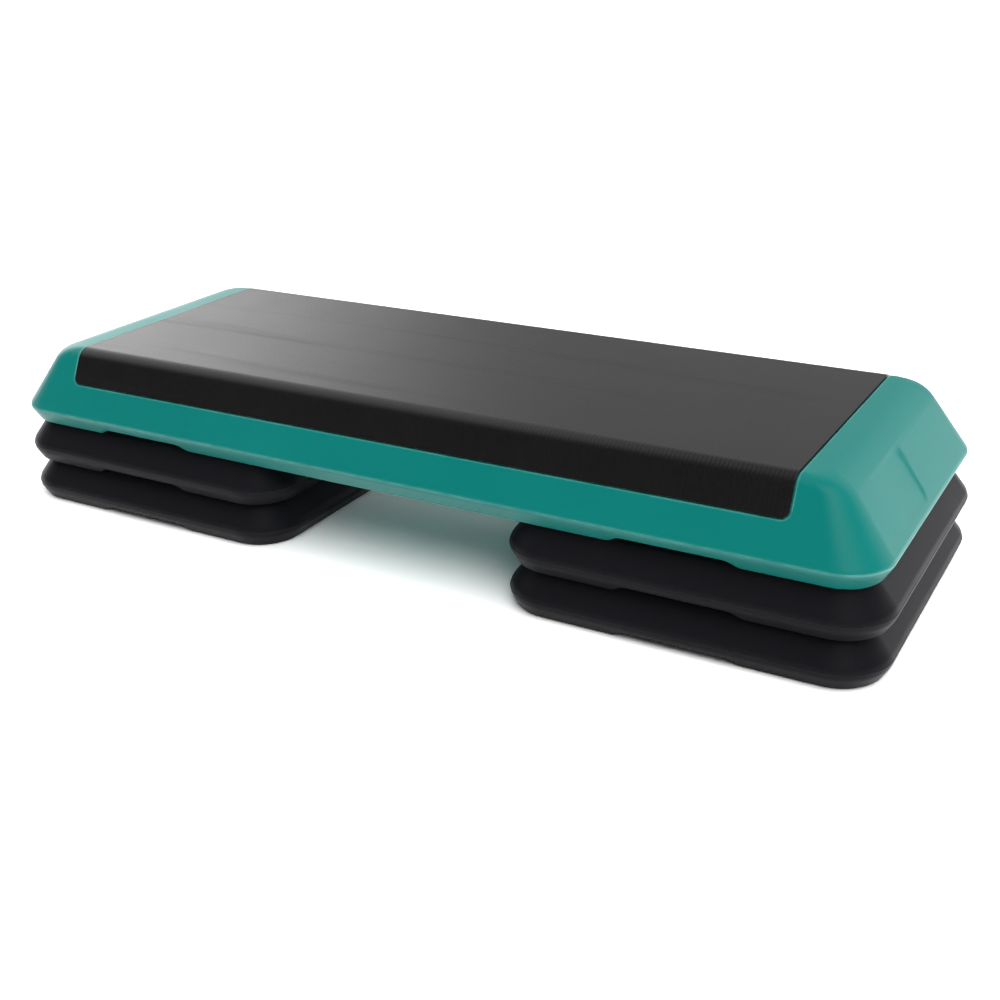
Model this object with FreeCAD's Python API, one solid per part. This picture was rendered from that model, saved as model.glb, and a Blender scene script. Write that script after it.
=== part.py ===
"""Aerobic step: a hollow moulded platform with a rubber tread, on two stacks of hollow risers."""
import FreeCAD, Part
import math
import os

Vector = FreeCAD.Vector

# Platform shell, a blow-moulded box whose two halves meet at a parting line above a tucked lip. Its
# walls stand upright at that line and lean in above and below it
platform_length = 1089.0
platform_width = 403.5
platform_height = 95.0
parting_corner_radius = 50.0
parting_rounding = 8.0
lip_height = 19.0
lip_slope = math.radians(31.0)
lip_rounding = 5.0
end_slope = math.radians(35.5)
side_slope = math.radians(25.5)
end_rounding = 42.0
side_rounding = 18.0
top_corner_radius = 22.0
platform_wall = 3.5

# Wells pressed up from the platform's underside until they meet the top wall and stiffen it,
# four over each stack and four between the stacks
well_mouth_radius = 24.0
well_end_radius = 10.0
well_spacing_x = 110.0
well_spacing_y = 150.0

# Rubber tread, glued into a shallow pocket and wrapped over both long edges
tread_length = 900.0
tread_thickness = 3.0
tread_sink = 2.5
tread_drop = 38.0
tread_corner_radius = 7.5
tread_clearance = 1.2
glue_film = 0.2

# Risers, each raising the platform by one riser height. Their length and width are those of the
# sharp ridge before it is rounded, and the reaches are how far that ridge passes the platform
riser_length = 412.0
riser_side_reach = 4.5
riser_end_reach = 9.5
riser_height = 51.0
riser_corner_radius = 58.0
riser_wall = 2.5
ridge_height = 19.0
ridge_rounding = 14.0
riser_tuck = 11.0
riser_bottom_rounding = 3.5
riser_top_slope = math.radians(37.0)
riser_top_rounding = 7.0

# Raised plateau on each riser, and the recess above that drops over it
plateau_margin = 56.5
plateau_height = 9.0
plateau_draft = 3.0
plateau_corner_radius = 40.0
plateau_rounding = 3.5
recess_depth = 10.0
recess_clearance = 1.5

# Finger notches in the front and back bottom edges. The platform's lie a little further in
notch_width = 142.0
notch_top_width = 108.0
notch_height = 7.0
platform_notch_shift = 8.0

# Push-in rubber feet
foot_radius = 13.0
foot_proud = 0.5
foot_pocket_depth = 2.0
foot_pocket_clearance = 0.3
foot_edge_rounding = 0.8
foot_inset = 48.0
stem_radius = 4.0
stem_hole_clearance = 0.3
barb_radius = 5.5
barb_tip_radius = 3.0
barb_height = 6.0
barb_gap = 0.3

# How finely roundings are stepped, how far cuts run past faces, and the least rounding inside a wall
arc_steps = 4
cut_overrun = 5.0
least_round_share = 0.3

sides = (("left", -1), ("right", 1))
layers = ("lower", "upper")
depths = (("front", -1), ("back", 1))
reaches = (("inner", -1), ("outer", 1))

riser_width = platform_width + 2 * riser_side_reach
stack_offset = platform_length / 2 + riser_end_reach - riser_length / 2
platform_bottom = len(layers) * riser_height + foot_proud
parting_level = platform_bottom + lip_height
platform_top = platform_bottom + platform_height
tread_pocket = tread_sink + glue_film
top_skin = platform_wall + tread_pocket
platform_roof = platform_top - top_skin
foot_thickness = foot_proud + foot_pocket_depth
foot_x = riser_length / 2 - foot_inset
foot_y = riser_width / 2 - foot_inset


def unit(start, end):
    """Direction from one (inset, level) point to another."""
    run = end[0] - start[0]
    rise = end[1] - start[1]
    size = math.hypot(run, rise)
    return run / size, rise / size


def round_corner(corner, back, ahead, radius):
    """Points along the arc that rounds a profile corner, given the directions to its neighbours."""
    opening = math.acos(back[0] * ahead[0] + back[1] * ahead[1])
    reach = radius / math.tan(opening / 2)
    middle = unit((0, 0), (back[0] + ahead[0], back[1] + ahead[1]))
    depth = radius / math.sin(opening / 2)
    centre = (corner[0] + middle[0] * depth, corner[1] + middle[1] * depth)
    first = (corner[0] + back[0] * reach - centre[0], corner[1] + back[1] * reach - centre[1])
    last = (corner[0] + ahead[0] * reach - centre[0], corner[1] + ahead[1] * reach - centre[1])
    turn = math.pi - opening
    if first[0] * last[1] - first[1] * last[0] < 0:
        turn = -turn
    points = []
    for step in range(arc_steps + 1):
        angle = turn * step / arc_steps
        run = first[0] * math.cos(angle) - first[1] * math.sin(angle)
        rise = first[0] * math.sin(angle) + first[1] * math.cos(angle)
        points.append((centre[0] + run, centre[1] + rise))
    return points


def inner_rounding(radius, skin):
    """Rounding on the inside of a wall whose outer rounding is radius."""
    return max(radius - skin, radius * least_round_share)


def outline(half_x, half_y, radius, level):
    """Level rectangle with round corners, centred on the vertical axis."""
    flat_x = half_x - radius
    flat_y = half_y - radius
    edges = []
    for quarter, (sign_x, sign_y) in enumerate(((1, 1), (-1, 1), (-1, -1), (1, -1))):
        centre = Vector(sign_x * flat_x, sign_y * flat_y, level)
        arc = []
        for share in (0, 1 / 2, 1):
            angle = (quarter + share) * math.pi / 2
            arc.append(centre + Vector(radius * math.cos(angle), radius * math.sin(angle), 0))
        if edges:
            edges.append(Part.makeLine(edges[-1].lastVertex(True).Point, arc[0]))
        edges.append(Part.Arc(*arc).toShape())
    edges.append(Part.makeLine(edges[-1].lastVertex(True).Point, edges[0].firstVertex(True).Point))
    return Part.Wire(edges)


def loft(sections):
    """Solid through outlines given as (half length, half width, corner radius, level)."""
    return Part.makeLoft([outline(*section) for section in sections], True, True)


def moved(shape, x, y, z):
    """Copy of a shape, shifted."""
    copy = shape.copy()
    copy.translate(Vector(x, y, z))
    return copy


def upright_gain(slope, rounding):
    """How much less a leaning face comes in because it starts upright and rounds into its slope."""
    return rounding * (1 / math.cos(slope) - 1)


def wall_steps(span, slope, start, end):
    """Distances from the parting line at which outlines are taken, through both of a wall's arcs."""
    steps = []
    for step in range(arc_steps + 1):
        steps.append(start * math.sin(slope * step / arc_steps))
    for step in range(arc_steps + 1):
        lean = slope + (math.pi / 2 - slope) * step / arc_steps
        steps.append(span - end * (1 - math.sin(lean)))
    return steps


def wall_inset(step, span, slope, start, end):
    """How far a wall has come in at a distance from the parting line, level once span is reached.

    The wall is upright at the parting line, rounds into its slope by start and out of it by end.
    """
    if step <= start * math.sin(slope):
        return start - math.sqrt(start ** 2 - step ** 2)
    straight = step * math.tan(slope) - upright_gain(slope, start)
    left = span - step
    if left >= end * (1 - math.sin(slope)):
        return straight
    reach = end * math.tan((math.pi / 2 - slope) / 2)
    level_inset = span * math.tan(slope) - upright_gain(slope, start) + reach
    return level_inset - math.sqrt(end ** 2 - (end - left) ** 2)


def platform_sections(skin, bottom, top):
    """Outlines of the platform, or of its hollow when skin is the wall's thickness."""
    half_x = platform_length / 2 - skin
    half_y = platform_width / 2 - skin
    corner = parting_corner_radius - skin
    start = inner_rounding(parting_rounding, skin)
    end_round = inner_rounding(end_rounding, skin)
    side_round = inner_rounding(side_rounding, skin)
    lip_round = inner_rounding(lip_rounding, skin)
    sections = []
    drop = parting_level - bottom
    for step in reversed(wall_steps(drop, lip_slope, start, lip_round)):
        inset = wall_inset(step, drop, lip_slope, start, lip_round)
        sections.append((half_x - inset, half_y - inset, corner - inset, parting_level - step))
    rise = top - parting_level
    for step in wall_steps(rise, end_slope, start, end_round)[1:]:
        inset_x = wall_inset(step, rise, end_slope, start, end_round)
        inset_y = wall_inset(step, rise, side_slope, start, side_round)
        radius = corner + (top_corner_radius - parting_corner_radius) * step / rise
        sections.append((half_x - inset_x, half_y - inset_y, radius, parting_level + step))
    return sections


def riser_sections(skin, bottom, top):
    """Outlines of a riser's body, or of its hollow when skin is the wall's thickness."""
    half_x = riser_length / 2 - skin
    half_y = riser_width / 2 - skin
    corner = riser_corner_radius - skin
    ridge_level = foot_proud + ridge_height
    foot = (riser_tuck * (ridge_level - bottom) / ridge_height, bottom)
    ridge = (0.0, ridge_level)
    brow = ((top - ridge_level) * math.tan(riser_top_slope), top)
    profile = round_corner(foot, (1, 0), unit(foot, ridge), inner_rounding(riser_bottom_rounding, skin))
    ridge_round = inner_rounding(ridge_rounding, skin)
    profile += round_corner(ridge, unit(ridge, foot), unit(ridge, brow), ridge_round)
    profile += round_corner(brow, unit(brow, ridge), (1, 0), inner_rounding(riser_top_rounding, skin))
    return [(half_x - inset, half_y - inset, corner - inset, level) for inset, level in profile]


def plateau(grow, bottom, top):
    """Tapered block of a riser's plateau, grown all round for the recess that fits over it."""
    half_x = riser_length / 2 - plateau_margin + grow
    half_y = riser_width / 2 - plateau_margin + grow
    corner = plateau_corner_radius + grow
    base = (0.0, bottom)
    crown = (plateau_draft, top)
    profile = [base] + round_corner(crown, unit(crown, base), (1, 0), plateau_rounding)
    return loft([(half_x - inset, half_y - inset, corner - inset, level) for inset, level in profile])


def notch(grow, underside):
    """Trapezoid channel across an underside that leaves a finger notch in both long edges."""
    reach = platform_width / 2 + cut_overrun
    low = underside - cut_overrun
    flare = (notch_width - notch_top_width) / 2 * cut_overrun / notch_height
    bottom_half = notch_width / 2 + grow + flare
    top_half = notch_top_width / 2 + grow
    high = underside + notch_height + grow
    corners = ((-bottom_half, low), (-top_half, high), (top_half, high), (bottom_half, low))
    points = [Vector(x, -reach, z) for x, z in corners]
    face = Part.Face(Part.makePolygon(points + points[:1]))
    return face.extrude(Vector(0, 2 * reach, 0))


def foot_places():
    """Centres of the four feet under one riser or one end of the platform, with their names."""
    places = []
    for depth, sign_y in depths:
        for reach, sign_x in reaches:
            places.append((f"{depth}_{reach}", sign_x * foot_x, sign_y * foot_y))
    return places


def seat_cuts(underside, wall, notch_x):
    """Cuts that shape an underside around one stack, and the same cuts lined by the wall."""
    open_level = underside - cut_overrun
    cuts = [plateau(recess_clearance, open_level, underside + recess_depth)]
    cuts.append(moved(notch(0, underside), notch_x, 0, 0))
    linings = [plateau(recess_clearance + wall, open_level, underside + recess_depth + wall)]
    linings.append(moved(notch(wall, underside), notch_x, 0, 0))
    pocket_radius = foot_radius + foot_pocket_clearance
    pocket_reach = cut_overrun + foot_pocket_depth
    hole_radius = stem_radius + stem_hole_clearance
    hole_reach = pocket_reach + wall + cut_overrun
    for name, x, y in foot_places():
        base = Vector(x, y, open_level)
        cuts.append(Part.makeCylinder(pocket_radius, pocket_reach, base))
        cuts.append(Part.makeCylinder(hole_radius, hole_reach, base))
        linings.append(Part.makeCylinder(pocket_radius + wall, pocket_reach + wall, base))
    return cuts, linings


def hollow_shell(block, hollow, cuts, linings):
    """Block with its cuts made, less a hollow that keeps a wall around each of them."""
    return block.cut(cuts).cut(hollow.cut(linings)).removeSplitter()


def tread_path(depth, low):
    """Edges of the tread's cross-section at a depth below the platform's skin, front to back."""
    lean = side_slope
    reach = side_rounding * math.tan((math.pi / 2 - lean) / 2)
    slope_run = (platform_top - parting_level) * math.tan(lean) - upright_gain(lean, parting_rounding)
    centre_y = platform_width / 2 - slope_run - reach
    centre_z = platform_top - side_rounding
    radius = side_rounding - depth
    shoulder = (centre_y + radius * math.cos(lean), centre_z + radius * math.sin(lean))
    half_turn = (lean + math.pi / 2) / 2
    crest = (centre_y + radius * math.cos(half_turn), centre_z + radius * math.sin(half_turn))
    hem = (shoulder[0] + (shoulder[1] - low) * math.tan(lean), low)
    flat = (centre_y, centre_z + radius)
    front = [Vector(0, -y, z) for y, z in (hem, shoulder, crest, flat)]
    back = [Vector(0, y, z) for y, z in (flat, crest, shoulder, hem)]
    return [
        Part.makeLine(front[0], front[1]),
        Part.Arc(front[1], front[2], front[3]).toShape(),
        Part.makeLine(front[3], back[0]),
        Part.Arc(back[0], back[1], back[2]).toShape(),
        Part.makeLine(back[2], back[3]),
    ]


def tread_strip(inner_depth, outer_depth, clearance):
    """Strip over the platform's top and long sides, with round lower corners."""
    half = tread_length / 2 + clearance
    low = platform_top - tread_drop - clearance
    inner = tread_path(inner_depth, low)
    outer = tread_path(outer_depth, low)
    front_hem = Part.makeLine(inner[0].firstVertex(True).Point, outer[0].firstVertex(True).Point)
    back_hem = Part.makeLine(inner[-1].lastVertex(True).Point, outer[-1].lastVertex(True).Point)
    section = Part.Face(Part.Wire(Part.__sortEdges__(inner + outer + [front_hem, back_hem])))
    band = moved(section, -half, 0, 0).extrude(Vector(2 * half, 0, 0))
    radius = tread_corner_radius + clearance
    reach = platform_width / 2
    high = platform_top + reach
    corner = radius * (1 - math.sqrt(1 / 2))
    left = [Vector(-half, -reach, high), Vector(-half, -reach, low + radius)]
    left += [Vector(corner - half, -reach, low + corner), Vector(radius - half, -reach, low)]
    right = [Vector(-point.x, point.y, point.z) for point in left]
    edges = [
        Part.makeLine(left[0], left[1]),
        Part.Arc(left[1], left[2], left[3]).toShape(),
        Part.makeLine(left[3], right[3]),
        Part.Arc(right[3], right[2], right[1]).toShape(),
        Part.makeLine(right[1], right[0]),
        Part.makeLine(right[0], left[0]),
    ]
    front_view = Part.Face(Part.Wire(edges))
    return band.common(front_view.extrude(Vector(0, 2 * reach, 0)))


def well_places():
    """Centres of the stiffening wells, in groups of four."""
    places = []
    for centre in (-stack_offset, 0, stack_offset):
        for column, sign_x in reaches:
            for row, sign_y in depths:
                places.append((centre + sign_x * well_spacing_x / 2, sign_y * well_spacing_y / 2))
    return places


def platform_shell():
    """Hollow platform with its tread pocket, riser seats and stiffening wells."""
    block = loft(platform_sections(0, platform_bottom, platform_top))
    hollow = loft(platform_sections(top_skin, platform_bottom + platform_wall, platform_roof))
    cuts = [tread_strip(tread_pocket, -cut_overrun, tread_clearance)]
    linings = []
    for side, sign in sides:
        seat, lining = seat_cuts(platform_bottom, platform_wall, -sign * platform_notch_shift)
        cuts += [moved(cut, sign * stack_offset, 0, 0) for cut in seat]
        linings += [moved(cut, sign * stack_offset, 0, 0) for cut in lining]
    well_depth = platform_roof - platform_wall - platform_bottom
    lining_depth = platform_roof + tread_pocket - platform_bottom
    lined_mouth = well_mouth_radius + platform_wall
    lined_end = well_end_radius + platform_wall
    for x, y in well_places():
        base = Vector(x, y, platform_bottom)
        cuts.append(Part.makeCone(well_mouth_radius, well_end_radius, well_depth, base))
        linings.append(Part.makeCone(lined_mouth, lined_end, lining_depth, base))
    return hollow_shell(block, hollow, cuts, linings)


def riser():
    """Hollow riser with its plateau on top and its seat underneath."""
    crown = riser_height + plateau_height
    body = loft(riser_sections(0, foot_proud, riser_height))
    block = body.fuse(plateau(0, riser_height - riser_wall, crown))
    cavity = loft(riser_sections(riser_wall, foot_proud + riser_wall, riser_height - riser_wall))
    hollow = cavity.fuse(plateau(-riser_wall, riser_height - 2 * riser_wall, crown - riser_wall))
    cuts, linings = seat_cuts(foot_proud, riser_wall, 0)
    return hollow_shell(block, hollow, cuts, linings)


def foot(wall):
    """Push-in foot: a round pad, a stem through the wall and a barb above it."""
    grip = foot_thickness + wall + barb_gap
    tip = grip + barb_height
    bevel = foot_edge_rounding * (1 - math.sqrt(1 / 2))
    edge = [Vector(foot_radius - foot_edge_rounding, 0, 0), Vector(foot_radius - bevel, 0, bevel)]
    edge.append(Vector(foot_radius, 0, foot_edge_rounding))
    rest = [Vector(foot_radius, 0, foot_thickness), Vector(stem_radius, 0, foot_thickness)]
    rest += [Vector(stem_radius, 0, grip), Vector(barb_radius, 0, grip)]
    rest += [Vector(barb_tip_radius, 0, tip), Vector(0, 0, tip), Vector(0, 0, 0)]
    edges = [Part.makeLine(rest[-1], edge[0]), Part.Arc(*edge).toShape()]
    corners = edge[-1:] + rest
    edges += [Part.makeLine(start, end) for start, end in zip(corners, corners[1:])]
    return Part.Face(Part.Wire(edges)).revolve(Vector(0, 0, 0), Vector(0, 0, 1), math.degrees(2 * math.pi))


def save(name, shape):
    """Writes one piece and prints its size."""
    shape.exportStep(f"parts/{name}.step")
    print(name, len(shape.Solids), shape.isValid(), round(shape.Volume), shape.BoundBox)


def save_feet(name, shape, centre_x, level, sign):
    """Writes four feet around a stack's centre, with outer away from the platform's middle."""
    for place, x, y in foot_places():
        save(f"{name}_foot_{place}", moved(shape, centre_x + sign * x, y, level))


os.makedirs("parts", exist_ok=True)
save("platform_shell", platform_shell())
save("tread_mat", tread_strip(tread_sink, tread_sink - tread_thickness, 0))
riser_shape = riser()
riser_foot = foot(riser_wall)
platform_foot = foot(platform_wall)
for side, sign in sides:
    stack_x = sign * stack_offset
    for layer, layer_name in enumerate(layers):
        level = layer * riser_height
        save(f"{side}_{layer_name}_riser", moved(riser_shape, stack_x, 0, level))
        save_feet(f"{side}_{layer_name}_riser", riser_foot, stack_x, level, sign)
    save_feet(f"{side}_platform", platform_foot, stack_x, len(layers) * riser_height, sign)
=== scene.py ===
"""Dresses an aerobic step: a teal moulded platform, its ribbed black tread and four stacked risers."""
import math

import bmesh
import bpy
from bpy.props import FloatProperty, FloatVectorProperty, PointerProperty
from mathutils import Matrix, Vector


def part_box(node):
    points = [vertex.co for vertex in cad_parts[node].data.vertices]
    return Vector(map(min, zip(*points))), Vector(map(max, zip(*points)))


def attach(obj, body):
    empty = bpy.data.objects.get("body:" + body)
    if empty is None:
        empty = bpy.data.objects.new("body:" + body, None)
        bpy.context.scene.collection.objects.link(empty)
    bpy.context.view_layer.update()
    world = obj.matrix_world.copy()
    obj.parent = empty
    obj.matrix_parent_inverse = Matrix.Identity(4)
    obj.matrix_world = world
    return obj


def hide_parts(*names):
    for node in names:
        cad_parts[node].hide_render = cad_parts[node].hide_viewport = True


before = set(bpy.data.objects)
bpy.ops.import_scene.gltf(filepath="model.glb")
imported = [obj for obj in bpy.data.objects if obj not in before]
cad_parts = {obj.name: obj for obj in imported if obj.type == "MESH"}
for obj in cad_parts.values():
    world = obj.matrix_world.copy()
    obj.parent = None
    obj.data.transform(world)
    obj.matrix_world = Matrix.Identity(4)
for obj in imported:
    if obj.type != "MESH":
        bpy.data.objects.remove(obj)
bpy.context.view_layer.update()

bl_info = {
    "name": "Aerobic Step",
    "version": (1, 0, 0),
    "blender": (4, 5, 0),
    "location": "3D View > Sidebar > Step",
    "description": "Models and finishes a stacked aerobic step around its measured frame",
    "category": "Object",
}

# Places read from the frame
shell_low, shell_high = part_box("platform_shell")
tread_low, tread_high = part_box("tread_mat")
riser_low, riser_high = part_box("right_lower_riser")
upper_low, upper_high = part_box("right_upper_riser")
pad_low, pad_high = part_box("right_lower_riser_foot_front_outer")
stack_offset = (riser_low.x + riser_high.x) / 2
riser_step = upper_low.z - riser_low.z
foot_centre = (pad_low + pad_high) / 2
foot_x = foot_centre.x - stack_offset
foot_y = abs(foot_centre.y)
foot_radius = (pad_high.x - pad_low.x) / 2

SIDES = (("left", -1), ("right", 1))
LAYERS = (("lower", 0.0), ("upper", riser_step))
CORNERS = ((-1, -1), (-1, 1), (1, -1), (1, 1))
MILLIMETRE = 0.001
# How near a point must lie to an outline or a plane to count as on it
TOUCH = 0.02 * MILLIMETRE
# How far cutters run past the faces they cut
OVERRUN = 5 * MILLIMETRE
# Steps in which round shapes are drawn
CORNER_STEPS = 14
ARC_STEPS = 8
NOTCH_STEPS = 6
BEAD_STEPS = 6
RIM_STEPS = 3
CIRCLE_STEPS = 48
# Edges that turn more than this stay sharp in the shading, or are rounded along the tread's pocket
PLASTIC_CREASE = math.radians(35)
RIB_CREASE = math.radians(50)
RIM_CREASE = math.radians(50)
# Values of a noise or a mask's source at which the mask starts and is full
SCUFF_ENDS = (0.58, 0.72)
PATCH_ENDS = (0.35, 0.6)
RUB_AND_HIGHLIGHT_ENDS = (0.994, 0.92)
LINE_ENDS = (1, 0.5)
# The whole range of a mask, and how scuffs are drawn out lengthwise
WHOLE = (0, 1)
SCUFF_STRETCH = (0.05, 1, 1)
# Least strength of the parting line's painted highlight, away from the ends
SEAM_LEAST = 0.15
# How much the cloudy patches change a plastic's tone and roughness, and the tone of the feet
CLOUD_TONE = 0.06
CLOUD_GLOSS = 0.05
FOOT_TONES = (0.8, 1.3)
# Parts of a direction between which the surround changes: toward its bright side, up, and to the back
BRIGHT_ENDS = (-0.15, 0.95)
HIGH_ENDS = (0.06, 0.32)
TOP_ENDS = (0.45, 0.8)
BEHIND_ENDS = (0.3, 0.75)
# Soft lights in the surround, as their settings name them
SOFT_LIGHTS = ("glow", "box", "fill", "haze")
# Width of the camera's sensor in millimetres
SENSOR_WIDTH = 36
# Shared node groups, filled by main
GROUPS = {}


def size(name, default, description):
    """A length for the sidebar, written in millimetres."""
    return FloatProperty(name=name, description=description, default=default * MILLIMETRE,
                         precision=5, subtype="DISTANCE", unit="LENGTH")


def lean(name, degrees, description):
    """An angle for the sidebar, written in degrees."""
    return FloatProperty(name=name, description=description, default=math.radians(degrees),
                         subtype="ANGLE", unit="ROTATION")


def colour(name, default, description):
    """A colour for the sidebar."""
    return FloatVectorProperty(name=name, description=description, default=default, size=3,
                               min=0, max=1, subtype="COLOR")


def amount(name, default, description):
    """A plain number for the sidebar."""
    return FloatProperty(name=name, description=description, default=default)


def share(name, default, description):
    """A number from 0 to 1 for the sidebar."""
    return FloatProperty(name=name, description=description, default=default, min=0, max=1, subtype="FACTOR")


def direction(name, default, description):
    """A direction for the sidebar."""
    return FloatVectorProperty(name=name, description=description, default=default, size=3, subtype="XYZ")


class PlatformSettings(bpy.types.PropertyGroup):
    """Sizes and colour of the platform"""
    lip_height: size("Lip height", 19, "Height of the tucked lip below the parting line")
    lip_slope: lean("Lip slope", 31, "Lean of the lip from upright")
    lip_rounding: size("Lip rounding", 5, "Rounding where the lip turns under")
    bead_height: size("Bead height", 2.2, "Height of the flash bead along the parting line")
    bead_proud: size("Bead proud", 0.45, "How far the flash bead stands out")
    # The pale lines along the seam and the rim are painted highlight
    seam_reach: size("Seam reach", 1.1, "Half the width of the pale lines along the seam and the rim")
    parting_rounding: size("Parting rounding", 8, "Rounding from the upright parting line into the slopes")
    end_slope: lean("End slope", 35.5, "Lean of the short ends from upright")
    side_slope: lean("Side slope", 25.5, "Lean of the long sides from upright")
    end_rounding: size("End rounding", 42, "Rounding from the ends into the top")
    side_rounding: size("Side rounding", 18, "Rounding from the long sides into the top")
    parting_corner: size("Parting corner", 50, "Corner radius in plan at the parting line")
    top_corner: size("Top corner", 22, "Corner radius in plan at the top")
    pocket_depth: size("Pocket depth", 2.7, "Depth of the pocket that the tread lies in")
    pocket_clearance: size("Pocket clearance", 1.6, "Gap round the tread in its pocket")
    pocket_edge: size("Pocket edge", 1.2, "Rounding along the pocket's rim")
    well_mouth: size("Well mouth", 24, "Mouth radius of the stiffening wells")
    well_end: size("Well end", 10, "End radius of the stiffening wells")
    well_spacing_x: size("Well spacing X", 110, "Spacing of the wells along the platform")
    well_spacing_y: size("Well spacing Y", 150, "Spacing of the wells across the platform")
    well_skin: size("Well skin", 9.7, "Plastic left between a well and the top")
    panel_length: size("Panel length", 106, "Length of the bare panel sunk in the right end")
    panel_height: size("Panel height", 62, "Height of the panel along the slope")
    panel_depth: size("Panel depth", 2.6, "Depth of the panel at its upper back corner")
    panel_ramp: size("Panel ramp", 2.5, "Half the width of the ramps round the panel")
    panel_corner: size("Panel corner", 9, "Corner radius of the panel")
    panel_offset: size("Panel offset", -62, "Place of the panel's middle across the end")
    panel_level: size("Panel level", 155.5, "Height of the panel's middle")
    notch_shift: size("Notch shift", 8, "How far the finger notches lie nearer the middle than the stacks")
    plastic: colour("Plastic", (0.0, 0.218, 0.193), "Teal of the moulded plastic")
    # Paler teal below is painted along edges as rubbed wear and painted highlight, and along the seam and
    # the tread's rim as painted highlight
    worn_and_highlight: colour("Worn plastic", (0.15, 0.48, 0.43), "Paler teal along rubbed edges")
    roughness: share("Roughness", 0.38, "Roughness of the plastic")
    shine: share("Shine", 0.42, "Strength of the plastic's sheen")


class TreadSettings(bpy.types.PropertyGroup):
    """Sizes and colour of the tread"""
    thickness: size("Thickness", 3, "Thickness of the rubber")
    proud: size("Proud", 0.5, "How far the rubber stands out of its pocket")
    corner: size("Corner", 7.5, "Radius of the lower corners")
    pitch: size("Pitch", 4.5, "Distance from rib to rib")
    groove_width: size("Groove width", 1.1, "Width of the groove between two ribs")
    groove_floor: size("Groove floor", 0.2, "Width of the groove's floor")
    groove_depth: size("Groove depth", 0.14, "Depth of the groove")
    rubber: colour("Rubber", (0.0075, 0.0073, 0.0075), "Black of the tread's rubber")
    roughness: share("Roughness", 0.27, "Roughness of the rubber where it is smoothest")
    spread: share("Roughness spread", 0.07, "How much rougher the cloudy patches get")
    streak_tone: amount("Streak tone", 1.6, "How many times paler the streaks are")
    streak_dulling: share("Streak dulling", 0.08, "How much rougher the streaks are")


class RiserSettings(bpy.types.PropertyGroup):
    """Sizes and colour of the risers"""
    ridge_length: size("Ridge length", 412, "Length over the ridge before it is rounded")
    ridge_width: size("Ridge width", 412.5, "Width over the ridge before it is rounded")
    ridge_height: size("Ridge height", 19, "Height of the ridge above the bottom edge")
    ridge_rounding: size("Ridge rounding", 14, "Rounding of the ridge")
    bead_height: size("Bead height", 1.8, "Height of the flash bead along the ridge")
    bead_proud: size("Bead proud", 0.5, "How far the flash bead stands out")
    corner: size("Corner", 58, "Corner radius in plan at the ridge")
    tuck: size("Tuck", 11, "How far the bottom edge tucks in")
    bottom_rounding: size("Bottom rounding", 3.5, "Rounding of the bottom edge")
    top_slope: lean("Top slope", 37, "Lean of the wall above the ridge from upright")
    top_rounding: size("Top rounding", 7, "Rounding from that wall into the shoulder")
    plateau_margin: size("Plateau margin", 56.5, "Distance from the ridge in to the plateau")
    plateau_height: size("Plateau height", 9, "Height of the plateau above the shoulder")
    plateau_draft: size("Plateau draft", 3, "How far the plateau's sides lean in")
    plateau_corner: size("Plateau corner", 40, "Corner radius of the plateau")
    plateau_rounding: size("Plateau rounding", 3.5, "Rounding of the plateau's top edge")
    plastic: colour("Plastic", (0.0105, 0.0102, 0.0128), "Black of the moulded plastic")
    # Greyer black below is painted along edges as rubbed wear and painted highlight
    worn_and_highlight: colour("Worn plastic", (0.02, 0.02, 0.022), "Greyer black along rubbed edges")
    roughness: share("Roughness", 0.4, "Roughness of the plastic")
    shine: share("Shine", 0.09, "Strength of the plastic's sheen")


class SeatSettings(bpy.types.PropertyGroup):
    """Sizes that the undersides of the platform and the risers share"""
    recess_depth: size("Recess depth", 10, "Depth of the recess that drops over a plateau")
    recess_clearance: size("Recess clearance", 1.5, "Gap round the plateau in its recess")
    notch_width: size("Notch width", 142, "Width of a finger notch at the bottom edge")
    notch_top_width: size("Notch top width", 108, "Width of a finger notch at its top")
    notch_height: size("Notch height", 7, "Height of a finger notch")
    pocket_depth: size("Pocket depth", 2, "Depth of the pocket that a foot sits in")
    pocket_clearance: size("Pocket clearance", 0.3, "Gap round a foot in its pocket")
    rubber: colour("Foot rubber", (0.03, 0.03, 0.032), "Dark grey of the feet")
    rubber_roughness: share("Foot roughness", 0.7, "Roughness of the feet")


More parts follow.
